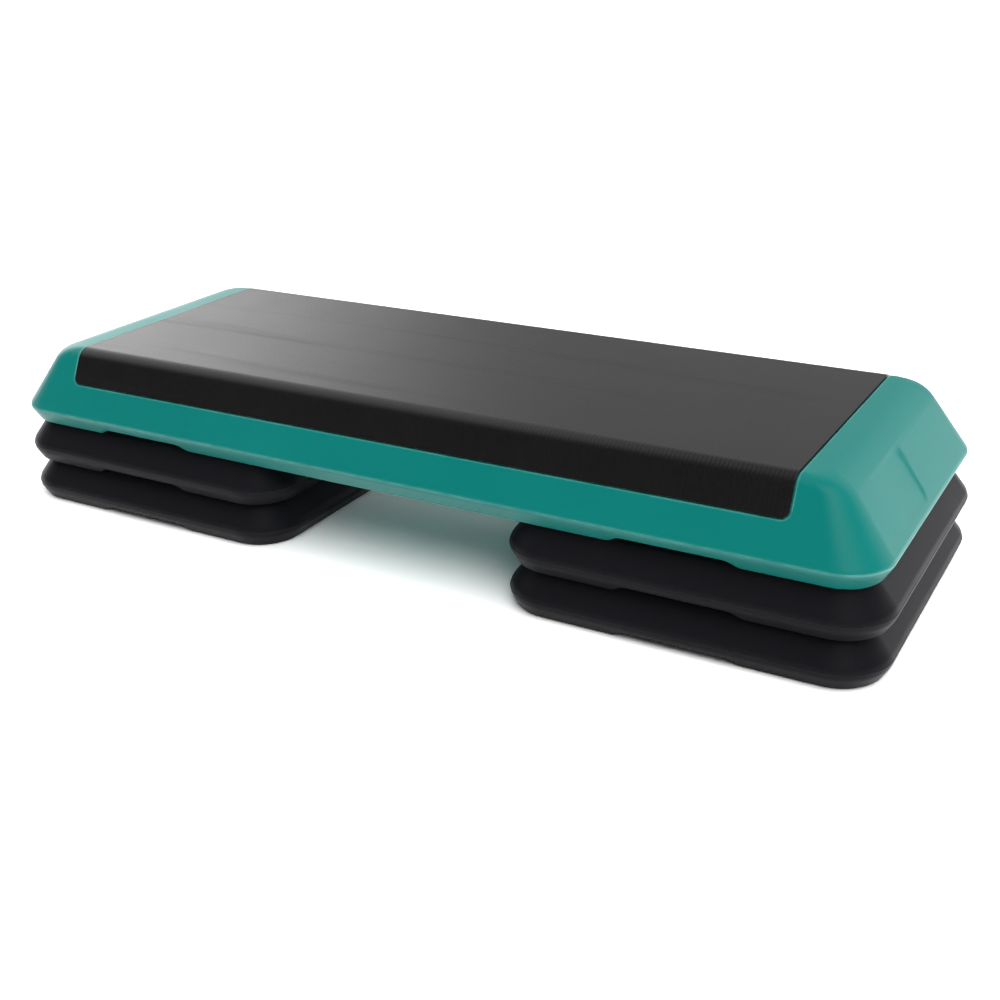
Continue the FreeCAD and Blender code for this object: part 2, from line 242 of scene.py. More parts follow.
class StageSettings(bpy.types.PropertyGroup):
    """Camera, floor and light"""
    camera_place: FloatVectorProperty(name="Camera place", description="Where the camera stands", size=3,
                                      default=(0.77533, -1.28078, 0.66837), subtype="XYZ", unit="LENGTH")
    azimuth: lean("Azimuth", 29.83, "Turn of the view about the upright axis")
    elevation: lean("Elevation", 23.47, "How far the view looks down")
    roll: lean("Roll", -1.25, "Turn of the camera about its own axis")
    lens: FloatProperty(name="Lens", description="Focal length", default=48.04, unit="CAMERA")
    floor_span: FloatProperty(name="Floor span", description="Side of the floor", default=60, unit="LENGTH")
    floor_paint: share("Floor paint", 0.88, "White of the floor as it lights the step")
    floor_shown: amount("Floor shown", 1.5, "White of the floor as it is seen")
    sun_strength: amount("Sun strength", 2.5, "Strength of the broad light overhead")
    sun_spread: lean("Sun spread", 55, "Width of both broad lights as seen from the step")
    sun_side: direction("Sun side", (0.36, -0.36, 0.86), "Direction from the step to the light overhead")
    rear_strength: amount("Rear strength", 1.6, "Strength of the broad light behind")
    rear_side: direction("Rear side", (0.5, 0.8, 0.32), "Direction from the step to the light behind")
    bright_side: direction("Bright side", (0.6, 0.8, 0), "Direction of the bright part of the surround")
    sky_back: amount("Back sky", 0.5, "Brightness of the low surround behind")
    sky_front: amount("Front sky", 0.05, "Brightness of the low surround in front")
    sky_top: amount("Top sky", 0.03, "Brightness of the surround right overhead")
    sky_high: amount("High sky", 0.62, "Brightness of the surround high up behind")
    glow_side: direction("Glow side", (-0.855, 0.51, 0.1), "Direction of the glow low down on the left")
    glow_edge: share("Glow edge", 0.86, "Cosine of the angle at which the glow ends")
    glow_strength: amount("Glow strength", 3.6, "Brightness of the glow")
    box_side: direction("Soft box side", (0.48, 0.76, 0.44), "Direction of the soft box at the back right")
    box_edge: share("Soft box edge", 0.78, "Cosine of the angle at which the soft box ends")
    box_strength: amount("Soft box strength", 0.35, "Brightness of the soft box")
    fill_side: direction("Fill side", (0.42, -0.69, 0.59), "Direction of the fill light at the front right")
    fill_edge: share("Fill edge", 0.92, "Cosine of the angle at which the fill light ends")
    fill_strength: amount("Fill strength", 0.85, "Brightness of the fill light")
    haze_side: direction("Haze side", (-0.7, 0.1, 0.71), "Direction of the faint haze high on the left")
    haze_edge: share("Haze edge", 0.78, "Cosine of the angle at which the haze ends")
    haze_strength: amount("Haze strength", 1.25, "Brightness of the haze")


def clear_selection():
    """Returns to object mode with nothing selected."""
    if bpy.context.mode != "OBJECT":
        bpy.ops.object.mode_set(mode="OBJECT")
    bpy.ops.object.select_all(action="DESELECT")


def edit(piece):
    """Opens one piece alone in edit mode."""
    clear_selection()
    bpy.context.view_layer.objects.active = piece
    piece.select_set(True)
    bpy.ops.object.mode_set(mode="EDIT")
    bpy.ops.mesh.select_mode(type="VERT")


def start_mesh(name):
    """Opens a new, empty mesh in edit mode."""
    clear_selection()
    bpy.ops.mesh.primitive_plane_add(size=1)
    piece = bpy.context.object
    piece.name = name
    piece.data.name = name
    edit(piece)
    bpy.ops.mesh.delete(type="VERT")
    return piece


def pick_points(piece, test):
    """Selects the points of the mesh in edit mode whose places pass a test."""
    mesh = bmesh.from_edit_mesh(piece.data)
    for point in mesh.verts:
        point.select = False
    mesh.select_flush(False)
    for point in mesh.verts:
        point.select = test(point.co)
    mesh.select_flush_mode()
    bmesh.update_edit_mesh(piece.data)


def pick_edges(piece, test):
    """Selects the edges of the mesh in edit mode that pass a test."""
    bpy.ops.mesh.select_mode(type="EDGE")
    bpy.ops.mesh.select_all(action="DESELECT")
    mesh = bmesh.from_edit_mesh(piece.data)
    for edge in mesh.edges:
        edge.select = test(edge)
    mesh.select_flush_mode()
    bmesh.update_edit_mesh(piece.data)


def face_up(piece):
    """Turns the faces of an arched sheet in edit mode so that its top looks up."""
    bpy.ops.mesh.select_all(action="SELECT")
    bpy.ops.mesh.normals_make_consistent(inside=False)
    mesh = bmesh.from_edit_mesh(piece.data)
    if sum(face.normal.z * face.calc_area() for face in mesh.faces) < 0:
        bpy.ops.mesh.flip_normals()


def arc(corner, before, after, radius):
    """Points of the arc that rounds a profile's corner between its two neighbours."""
    back = (before - corner).normalized()
    ahead = (after - corner).normalized()
    half = back.angle(ahead) / 2
    centre = corner + (back + ahead).normalized() * (radius / math.sin(half))
    first = corner + back * (radius / math.tan(half)) - centre
    last = corner + ahead * (radius / math.tan(half)) - centre
    return [centre + first.slerp(last, step / ARC_STEPS) * radius for step in range(ARC_STEPS + 1)]


def add_outline(centre, ring):
    """Adds a level outline with round corners to the mesh in edit mode, as loose edges."""
    half_length, half_width, corner, level = ring
    middle = (centre, 0, level)
    bpy.ops.mesh.primitive_plane_add(size=2, location=middle)
    bpy.ops.transform.resize(value=(half_length, half_width, 1), center_override=middle)
    bpy.ops.mesh.bevel(offset=corner, segments=CORNER_STEPS, affect="VERTICES")
    bpy.ops.mesh.delete(type="ONLY_FACE")


def lies_on(point, centre, ring):
    """Whether a point lies on a level outline."""
    half_length, half_width, corner, level = ring
    run = max(abs(point.x - centre) - half_length + corner, 0)
    reach = max(abs(point.y) - half_width + corner, 0)
    return abs(point.z - level) < TOUCH and abs(math.hypot(run, reach) - corner) < TOUCH


def loft(name, centre, rings):
    """Closed solid through level outlines given as half length, half width, corner and level."""
    piece = start_mesh(name)
    for ring in rings:
        add_outline(centre, ring)
    for first, second in zip(rings, rings[1:]):
        pick_points(piece, lambda point: lies_on(point, centre, first) or lies_on(point, centre, second))
        bpy.ops.mesh.bridge_edge_loops()
    for ring in (rings[0], rings[-1]):
        pick_points(piece, lambda point: lies_on(point, centre, ring))
        bpy.ops.mesh.edge_face_add()
    bpy.ops.mesh.select_all(action="SELECT")
    bpy.ops.mesh.normals_make_consistent(inside=False)
    clear_selection()
    return piece


def apply_modifier(piece, kind, **values):
    """Gives a piece one modifier and applies it."""
    clear_selection()
    bpy.context.view_layer.objects.active = piece
    modifier = piece.modifiers.new(kind.title(), kind)
    for name, value in values.items():
        setattr(modifier, name, value)
    bpy.ops.object.modifier_apply(modifier=modifier.name)


def cut(piece, cutter, operation="DIFFERENCE"):
    """Cuts a piece with another, or joins or intersects the two, and uses the other up."""
    apply_modifier(piece, "BOOLEAN", object=cutter, operation=operation, solver="EXACT")
    bpy.data.objects.remove(cutter)


def smooth(piece, angle=PLASTIC_CREASE):
    """Shades a piece smooth apart from its sharp edges, with its flat faces kept flat."""
    edit(piece)
    bpy.ops.mesh.select_all(action="SELECT")
    bpy.ops.mesh.remove_doubles(threshold=TOUCH / 10)
    clear_selection()
    piece.select_set(True)
    bpy.context.view_layer.objects.active = piece
    bpy.ops.object.shade_smooth_by_angle(angle=angle)
    apply_modifier(piece, "WEIGHTED_NORMAL", keep_sharp=True)


def raise_notch(piece, centre, underside, slope, seat):
    """Arches the front and back bottom edges up into a finger notch with S-shaped ends."""
    columns = {}
    for sign in (-1, 1):
        for step in range(NOTCH_STEPS + 1):
            share = step / NOTCH_STEPS
            offset = (seat.notch_width + (seat.notch_top_width - seat.notch_width) * share) / 2
            columns[centre + sign * offset] = seat.notch_height * (1 - math.cos(math.pi * share)) / 2
    edit(piece)
    for x in columns:
        bpy.ops.mesh.select_all(action="SELECT")
        bpy.ops.mesh.bisect(plane_co=(x, 0, 0), plane_no=(1, 0, 0))
    limit = underside + seat.notch_height
    for x, rise in columns.items():
        for side in (-1, 1):
            pick_points(piece, lambda point: (abs(point.x - x) < TOUCH and point.z < limit
                                              and point.y * side > 0))
            bpy.ops.transform.translate(value=(0, side * rise * slope, rise))
    clear_selection()


def inset_rings(half_length, half_width, corner, profile, start=0):
    """Outlines that follow a profile of insets and heights above a level."""
    rings = []
    for inset, rise in profile:
        rings.append((half_length - inset, half_width - inset, corner - inset, start + rise))
    return rings


def plateau_rings(riser, grow, bottom, top):
    """Outlines of a riser's plateau, grown all round for the recess that fits over it."""
    half_length = riser.ridge_length / 2 - riser.plateau_margin + grow
    half_width = riser.ridge_width / 2 - riser.plateau_margin + grow
    corner = riser.plateau_corner + grow
    base = Vector((0, bottom))
    crown = Vector((riser.plateau_draft, top))
    inward = Vector((half_width, top))
    profile = [base] + arc(crown, base, inward, riser.plateau_rounding)
    return inset_rings(half_length, half_width, corner, profile)


def cut_seat(piece, centre, underside, seat, riser):
    """Cuts the recess that drops over a plateau and the pockets of four feet into an underside."""
    rings = plateau_rings(riser, seat.recess_clearance, underside - OVERRUN, underside + seat.recess_depth)
    cut(piece, loft("recess_cutter", centre, rings))
    cutter = start_mesh("pocket_cutter")
    for sign_x, sign_y in CORNERS:
        bpy.ops.mesh.primitive_cylinder_add(
            vertices=CIRCLE_STEPS, radius=foot_radius + seat.pocket_clearance, depth=2 * seat.pocket_depth,
            location=(centre + sign_x * foot_x, sign_y * foot_y, underside))
    clear_selection()
    cut(piece, cutter)


def upright_gain(slope, rounding):
    """How much less a leaning wall comes in because it starts upright and rounds into its slope."""
    return rounding * (1 / math.cos(slope) - 1)


def wall_steps(span, slope, start, end):
    """Distances from the parting line at which outlines are taken, through both of a wall's arcs."""
    steps = []
    for step in range(ARC_STEPS + 1):
        steps.append(start * math.sin(slope * step / ARC_STEPS))
    for step in range(ARC_STEPS + 1):
        tilt = slope + (math.pi / 2 - slope) * step / ARC_STEPS
        steps.append(span - end * (1 - math.sin(tilt)))
    return steps


def wall_inset(step, span, slope, start, end):
    """How far a wall has come in at a distance from the parting line, level once span is reached.

    The wall is upright at the parting line, rounds into its slope by start and out of it by end.
    """
    if step <= start * math.sin(slope):
        return start - math.sqrt(start ** 2 - step ** 2)
    straight = step * math.tan(slope) - upright_gain(slope, start)
    left = span - step
    if left >= end * (1 - math.sin(slope)):
        return straight
    reach = end * math.tan((math.pi / 2 - slope) / 2)
    level_inset = span * math.tan(slope) - upright_gain(slope, start) + reach
    return level_inset - math.sqrt(end ** 2 - (end - left) ** 2)


def parting_level(platform):
    """Height of the platform's parting line."""
    return shell_low.z + platform.lip_height


def slope_place(platform, half_size, slope, level):
    """Distance of a leaning wall from the platform's middle, at a height on its straight part."""
    rise = level - parting_level(platform)
    return half_size - rise * math.tan(slope) + upright_gain(slope, platform.parting_rounding)


def bead_profile(height, proud):
    """Half-round bead along a parting line, as insets and heights about that line."""
    profile = []
    for step in range(BEAD_STEPS + 1):
        turn = math.pi * step / BEAD_STEPS
        profile.append((-proud * math.sin(turn), -height / 2 * math.cos(turn)))
    return profile


def platform_rings(platform, seat):
    """Outlines of the platform from its bottom, past the bead on the parting line, to its top."""
    half_length = shell_high.x
    half_width = shell_high.y
    corner = platform.parting_corner
    parting = parting_level(platform)
    start = platform.parting_rounding
    lip = (platform.lip_height, platform.lip_slope, start, platform.lip_rounding)
    # The lip keeps a plain band for the finger notches to rise into
    turn_under = platform.lip_rounding * (1 - math.sin(platform.lip_slope))
    plain_low = platform.lip_height - turn_under - TOUCH
    plain_high = plain_low - seat.notch_height
    profile = []
    for step in reversed(wall_steps(*lip)):
        if platform.bead_height / 2 < step < plain_high or step > plain_low:
            profile.append((wall_inset(step, *lip), -step))
    profile += bead_profile(platform.bead_height, platform.bead_proud)
    rings = inset_rings(half_length, half_width, corner, profile, parting)
    full = shell_high.z - parting
    for rise in wall_steps(full, platform.end_slope, start, platform.end_rounding):
        if rise > platform.bead_height / 2:
            inset_x = wall_inset(rise, full, platform.end_slope, start, platform.end_rounding)
            inset_y = wall_inset(rise, full, platform.side_slope, start, platform.side_rounding)
            radius = corner + (platform.top_corner - corner) * rise / full
            rings.append((half_length - inset_x, half_width - inset_y, radius, parting + rise))
    return rings


def riser_rings(riser, seat):
    """Outlines of a riser from its bottom, past the bead on its ridge, to its shoulder."""
    bottom = riser_low.z
    ridge_level = bottom + riser.ridge_height
    shoulder = riser_step
    foot = Vector((riser.tuck, bottom))
    ridge = Vector((0, ridge_level))
    brow = Vector(((shoulder - ridge_level) * math.tan(riser.top_slope), shoulder))
    inward = Vector((riser.ridge_width / 2, 0))
    profile = arc(foot, foot + inward, ridge, riser.bottom_rounding)
    # A plain band above the bottom edge lets the finger notches rise into it
    plain_high = profile[-1].y + seat.notch_height + TOUCH
    ridge_arc = arc(ridge, foot, brow, riser.ridge_rounding)
    crest = min(ridge_arc, key=lambda point: point.x)
    half_bead = riser.bead_height / 2
    profile += [point for point in ridge_arc if plain_high < point.y < crest.y - half_bead]
    for inset, rise in bead_profile(riser.bead_height, riser.bead_proud):
        profile.append(crest + Vector((inset, rise)))
    profile += [point for point in ridge_arc if point.y > crest.y + half_bead]
    profile += arc(brow, ridge, brow + inward, riser.top_rounding)
    return inset_rings(riser.ridge_length / 2, riser.ridge_width / 2, riser.corner, profile)


def sweep_tread(platform, depth, low):
    """Carries the selected row of points over the platform, from its front hem to its back hem."""
    slope = platform.side_slope
    reach = platform.side_rounding * math.tan((math.pi / 2 - slope) / 2)
    centre_y = slope_place(platform, shell_high.y, slope, shell_high.z) - reach
    centre_z = shell_high.z - platform.side_rounding
    radius = platform.side_rounding - depth
    shoulder_z = centre_z + radius * math.sin(slope)
    climb = shoulder_z - low
    run = climb * math.tan(slope)
    turn = math.pi / 2 - slope
    bpy.ops.mesh.extrude_region_move(TRANSFORM_OT_translate={"value": (0, run, climb)})
    bpy.ops.mesh.spin(steps=ARC_STEPS, angle=turn, center=(0, -centre_y, centre_z), axis=(1, 0, 0))
    bpy.ops.mesh.extrude_region_move(TRANSFORM_OT_translate={"value": (0, 2 * centre_y, 0)})
    bpy.ops.mesh.spin(steps=ARC_STEPS, angle=turn, center=(0, centre_y, centre_z), axis=(1, 0, 0))
    bpy.ops.mesh.extrude_region_move(TRANSFORM_OT_translate={"value": (0, run, -climb)})


def hem_place(platform, depth, low):
    """Distance of the tread's hem from the platform's middle plane, at a depth below its skin."""
    slope = platform.side_slope
    return slope_place(platform, shell_high.y, slope, low) - depth / math.cos(slope)


def tread_block(name, platform, tread, inner, outer, clearance):
    """Smooth strip over the platform between two depths, with round lower corners."""
    slope = platform.side_slope
    low = tread_low.z - clearance * math.cos(slope) - inner * math.sin(slope)
    half = tread_high.x + clearance
    piece = start_mesh(name)
    y = -hem_place(platform, inner, low)
    bpy.ops.mesh.primitive_plane_add(size=2, location=(0, y - 1, low))
    bpy.ops.transform.resize(value=(half, 1, 1), center_override=(0, y, low))
    pick_points(piece, lambda point: point.y < y - TOUCH)
    bpy.ops.mesh.delete(type="VERT")
    bpy.ops.mesh.select_all(action="SELECT")
    sweep_tread(platform, inner, low)
    pick_points(piece, lambda point: abs(point.z - low) < TOUCH)
    bpy.ops.mesh.bevel(offset=tread.corner + clearance, segments=CORNER_STEPS, affect="VERTICES")
    face_up(piece)
    clear_selection()
    apply_modifier(piece, "SOLIDIFY", thickness=inner - outer, offset=1, use_even_offset=True)
    return piece


def new_material(name):
    """Empty material with a Principled shader, and that shader."""
    material = bpy.data.materials.new(name)
    material.use_nodes = True
    return material, material.node_tree.nodes["Principled BSDF"]


def add_node(tree, kind, inputs=(), **values):
    """Adds a node, sets its properties and feeds its inputs with values or sockets."""
    node = tree.nodes.new(kind)
    for name, value in values.items():
        setattr(node, name, value)
    for key, value in dict(inputs).items():
        if isinstance(value, bpy.types.NodeSocket):
            tree.links.new(value, node.inputs[key])
        else:
            node.inputs[key].default_value = value
    return node


def calculate(tree, operation, *values):
    """Socket of a Math node fed with values or sockets."""
    return add_node(tree, "ShaderNodeMath", enumerate(values), operation=operation).outputs[0]


def remap(tree, value, ends, onto=WHOLE, shape="LINEAR"):
    """Socket of a value carried from one range onto another."""
    inputs = {"Value": value, "From Min": ends[0], "From Max": ends[1],
              "To Min": onto[0], "To Max": onto[1]}
    return add_node(tree, "ShaderNodeMapRange", inputs, interpolation_type=shape).outputs[0]


def mix(tree, factor, first, second, kind="RGBA"):
    """Socket of a colour or number between two others."""
    inputs = {"Factor": factor, "A": first, "B": second}
    return add_node(tree, "ShaderNodeMix", inputs, data_type=kind).outputs["Result"]


def facing(tree, first, second):
    """Socket of the cosine between two directions."""
    inputs = {0: first, 1: second}
    return add_node(tree, "ShaderNodeVectorMath", inputs, operation="DOT_PRODUCT").outputs["Value"]


def noise(tree, place, scale, detail):
    """Socket of a noise from 0 to 1."""
    inputs = {"Vector": place, "Scale": scale, "Detail": detail}
    return add_node(tree, "ShaderNodeTexNoise", inputs).outputs["Fac"]


def object_place(tree):
    """Socket of a point's place on its object."""
    return add_node(tree, "ShaderNodeTexCoord").outputs["Object"]


def patches(tree, place, scale, least):
    """Socket of a patchy mask between a least value and 1."""
    return remap(tree, noise(tree, place, scale, detail=2), PATCH_ENDS, (least, 1))


def line_mask(tree, value, level, reach):
    """Socket of a mask that is 1 where a value lies near a level and 0 beyond a reach from it."""
    away = calculate(tree, "ABSOLUTE", calculate(tree, "SUBTRACT", value, level))
    return remap(tree, calculate(tree, "DIVIDE", away, reach), LINE_ENDS)


def new_group(name, inputs, outputs):
    """Shader node group with named number inputs and outputs, and the sockets of its two end nodes."""
    group = bpy.data.node_groups.new(name, "ShaderNodeTree")
    for label, default in inputs:
        socket = group.interface.new_socket(name=label, in_out="INPUT", socket_type="NodeSocketFloat")
        socket.default_value = default
    for label in outputs:
        group.interface.new_socket(name=label, in_out="OUTPUT", socket_type="NodeSocketFloat")
    return group, group.nodes.new("NodeGroupInput").outputs, group.nodes.new("NodeGroupOutput").inputs


def moulded_grain():
    """Group: the fine pebble of a blown plastic skin over its slow waves."""
    inputs = [("Grain", 900), ("Waves", 7), ("Wave height", 0.5)]
    group, inside, outside = new_group("Moulded grain", inputs, ["Height"])
    place = object_place(group)
    pebble = noise(group, place, inside["Grain"], detail=2)
    wave = noise(group, place, inside["Waves"], detail=1)
    swell = calculate(group, "MULTIPLY", wave, inside["Wave height"])
    group.links.new(calculate(group, "ADD", pebble, swell), outside["Height"])
    return group


def handling_marks():
    """Group: cloudy patches and thin lengthwise scuffs left by handling, from 0 to 1."""
    inputs = [("Cloud", 9), ("Scuff", 60)]
    group, inside, outside = new_group("Handling marks", inputs, ["Clouds", "Scuffs"])
    place = object_place(group)
    group.links.new(noise(group, place, inside["Cloud"], detail=3), outside["Clouds"])
    drawn = add_node(group, "ShaderNodeMapping", {"Vector": place, "Scale": SCUFF_STRETCH}).outputs[0]
    scuff = noise(group, drawn, inside["Scuff"], detail=3)
    group.links.new(remap(group, scuff, SCUFF_ENDS), outside["Scuffs"])
    return group


def edge_rub():
    """Group: a mask along edges, broken up by noise, for rubbed wear and a painted highlight along them."""
    group, inside, outside = new_group("Edge rub", [("Radius", 0.0025), ("Break", 40)], ["Mask"])
    soft = add_node(group, "ShaderNodeBevel", {"Radius": inside["Radius"]}, samples=4).outputs["Normal"]
    hard = add_node(group, "ShaderNodeNewGeometry").outputs["Normal"]
    edge = remap(group, facing(group, soft, hard), RUB_AND_HIGHLIGHT_ENDS)
    broken = patches(group, object_place(group), inside["Break"], least=0.4)
    group.links.new(calculate(group, "MULTIPLY", edge, broken), outside["Mask"])
    return group


def painted_highlight_lines():
    """Group: a broken mask of painted highlight along a level seam, strongest at both ends, and along the
    tread's rim.
    """
    inputs = [("Seam level", 0), ("Rim place", 0), ("Rim low", 0), ("Reach", 0.001), ("Break", 12),
              ("Fade", 0.5), ("Full", 0.545)]
    group, inside, outside = new_group("Pale lines", inputs, ["Mask"])
    place = object_place(group)
    parts = add_node(group, "ShaderNodeSeparateXYZ", {"Vector": place}).outputs
    run = calculate(group, "ABSOLUTE", parts["X"])
    line = line_mask(group, parts["Z"], inside["Seam level"], inside["Reach"])
    ends = remap(group, run, (inside["Fade"], inside["Full"]), (SEAM_LEAST, 1))
    seam = calculate(group, "MULTIPLY", line, ends)
    line = line_mask(group, run, inside["Rim place"], inside["Reach"])
    high = calculate(group, "GREATER_THAN", parts["Z"], inside["Rim low"])
    rim = calculate(group, "MULTIPLY", line, high)
    broken = patches(group, place, inside["Break"], least=0.35)
    mask = calculate(group, "MULTIPLY", calculate(group, "MAXIMUM", seam, rim), broken)
    group.links.new(mask, outside["Mask"])
    return group


def place_group(material, group, **values):
    """Places a node group in a material with its own values."""
    node = material.node_tree.nodes.new("ShaderNodeGroup")
    node.node_tree = group
    for name, value in values.items():
        node.inputs[name.replace("_", " ").capitalize()].default_value = value
    return node.outputs


def shade(tint, factor):
    """A colour made lighter or darker."""
    return (tint[0] * factor, tint[1] * factor, tint[2] * factor, 1)


def roughen(material, shader, strength, depth, **values):
    """Gives a material its fine grain as a bump."""
    grain = place_group(material, GROUPS["grain"], **values)
    inputs = {"Height": grain["Height"], "Strength": strength, "Distance": depth}
    bump = add_node(material.node_tree, "ShaderNodeBump", inputs)
    material.node_tree.links.new(bump.outputs[0], shader.inputs["Normal"])


def blown_plastic(name, finish, lines=None):
    """Satin blow-moulded plastic: fine grain, slow waves, cloudy sheen, rubbed edges with a painted
    highlight, and any painted highlight lines.
    """
    material, shader = new_material(name)
    shader.inputs["Specular IOR Level"].default_value = finish.shine
    tree = material.node_tree
    clouds = place_group(material, GROUPS["marks"])["Clouds"]
    # Paler colour painted along edges as rubbed wear and painted highlight, and along any lines as painted
    # highlight
    pale = place_group(material, GROUPS["rub"])["Mask"]
    if lines:
        line = place_group(material, GROUPS["lines"], **lines)["Mask"]
        pale = calculate(tree, "MAXIMUM", pale, line)
    tone = mix(tree, clouds, shade(finish.plastic, 1 - CLOUD_TONE), shade(finish.plastic, 1 + CLOUD_TONE))
    tree.links.new(mix(tree, pale, tone, shade(finish.worn_and_highlight, 1)), shader.inputs["Base Color"])
    span = (finish.roughness - CLOUD_GLOSS, finish.roughness + CLOUD_GLOSS)
    tree.links.new(remap(tree, clouds, WHOLE, span), shader.inputs["Roughness"])
    roughen(material, shader, strength=0.12, depth=0.4 * MILLIMETRE)
    return material


def tread_rubber(tread):
    """Black rubber with a dull skin and faint lengthwise streaks."""
    material, shader = new_material("tread_rubber")
    tree = material.node_tree
    marks = place_group(material, GROUPS["marks"], scuff=24)
    tone = mix(tree, marks["Scuffs"], shade(tread.rubber, 1), shade(tread.rubber, tread.streak_tone))
    tree.links.new(tone, shader.inputs["Base Color"])
    gloss = remap(tree, marks["Clouds"], WHOLE, (tread.roughness, tread.roughness + tread.spread))
    dull = calculate(tree, "MULTIPLY_ADD", marks["Scuffs"], tread.streak_dulling, gloss)
    tree.links.new(dull, shader.inputs["Roughness"])
    roughen(material, shader, strength=0.15, depth=0.3 * MILLIMETRE, grain=1500, wave_height=0)
    return material


def foot_rubber(seat):
    """Dull grey rubber of the feet."""
    material, shader = new_material("foot_rubber")
    tree = material.node_tree
    clouds = place_group(material, GROUPS["marks"], cloud=60)["Clouds"]
    tones = [shade(seat.rubber, factor) for factor in FOOT_TONES]
    tree.links.new(mix(tree, clouds, *tones), shader.inputs["Base Color"])
    shader.inputs["Roughness"].default_value = seat.rubber_roughness
    roughen(material, shader, strength=0.2, depth=0.3 * MILLIMETRE, grain=2500, wave_height=0)
    return material


def dress(piece, material, body, node):
    """Gives a piece its finish, hangs it on the body that carries it and hides the node that it stands for.
    """
    piece.data.materials.clear()
    piece.data.materials.append(material)
    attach(piece, body)
    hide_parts(node)


class STEP_OT_platform(bpy.types.Operator):
    """Model the platform with its tread pocket, end panel, seats and wells"""
    bl_idname = "step.platform"
    bl_label = "Platform"

    def execute(self, context):
        platform = context.scene.step_platform
        tread = context.scene.step_tread
        seat = context.scene.step_seat
        riser = context.scene.step_riser
        piece = loft("platform_body", 0, platform_rings(platform, seat))
        for sign in (-1, 1):
            place = sign * (stack_offset - platform.notch_shift)
            raise_notch(piece, place, shell_low.z, math.tan(platform.lip_slope), seat)
        cut(piece, tread_block("pocket_cutter", platform, tread, platform.pocket_depth, -OVERRUN,
                               platform.pocket_clearance))
        self.round_pocket(piece, platform)
        self.cut_panel(piece, platform)
        for sign in (-1, 1):
            cut_seat(piece, sign * stack_offset, shell_low.z, seat, riser)
        self.cut_wells(piece, platform)
        smooth(piece)
        # Painted highlight along the parting seam and along the tread's rim
        lines = {"seam_level": parting_level(platform), "reach": platform.seam_reach,
                 "rim_place": tread_high.x + platform.pocket_clearance + platform.pocket_edge / 2,
                 "rim_low": tread_low.z + tread.corner}
        plastic = blown_plastic("platform_plastic", platform, lines)
        dress(piece, plastic, "platform", "platform_shell")
        return {"FINISHED"}

    def round_pocket(self, piece, platform):
        """Rounds the rim of the tread's pocket."""
        least = parting_level(platform) + OVERRUN
        edit(piece)
        pick_edges(piece, lambda edge: (edge.is_convex and edge.calc_face_angle(0) > RIM_CREASE
                                        and min(point.co.z for point in edge.verts) > least))
        bpy.ops.mesh.bevel(offset=platform.pocket_edge, segments=RIM_STEPS, affect="EDGES")
        clear_selection()

    def cut_panel(self, piece, platform):
        """Sinks the bare panel into the right end, deepest at its upper back corner."""
        half_height = platform.panel_height / 2
        half_length = platform.panel_length / 2
        half_depth = platform.panel_depth / 2
        rings = []
        for sign in (-1, 1):
            grow = sign * platform.panel_ramp
            rings.append((half_height + grow, half_length + grow, platform.panel_corner, sign * half_depth))
        cutter = loft("panel_cutter", 0, rings)
        face_x = slope_place(platform, shell_high.x, platform.end_slope, platform.panel_level)
        place = Vector((face_x, platform.panel_offset, platform.panel_level))
        turn = Matrix.Rotation(math.pi / 2 - platform.end_slope, 4, "Y")
        tilt_long = Matrix.Rotation(-math.atan2(half_depth / 2, half_length), 4, "X")
        tilt_high = Matrix.Rotation(-math.atan2(half_depth / 2, half_height), 4, "Y")
        cutter.matrix_world = Matrix.Translation(place) @ turn @ tilt_high @ tilt_long
        cut(piece, cutter)

    def cut_wells(self, piece, platform):
        """Presses the stiffening wells up from below."""
        depth = shell_high.z - platform.well_skin - shell_low.z
        flare = (platform.well_mouth - platform.well_end) * OVERRUN / depth
        cutter = start_mesh("well_cutter")
        middle = shell_low.z + (depth - OVERRUN) / 2
        for centre in (-stack_offset, 0, stack_offset):
            for sign_x, sign_y in CORNERS:
                x = centre + sign_x * platform.well_spacing_x / 2
                y = sign_y * platform.well_spacing_y / 2
                bpy.ops.mesh.primitive_cone_add(
                    vertices=CIRCLE_STEPS, radius1=platform.well_mouth + flare, radius2=platform.well_end,
                    depth=depth + OVERRUN, location=(x, y, middle))
        clear_selection()
        cut(piece, cutter)


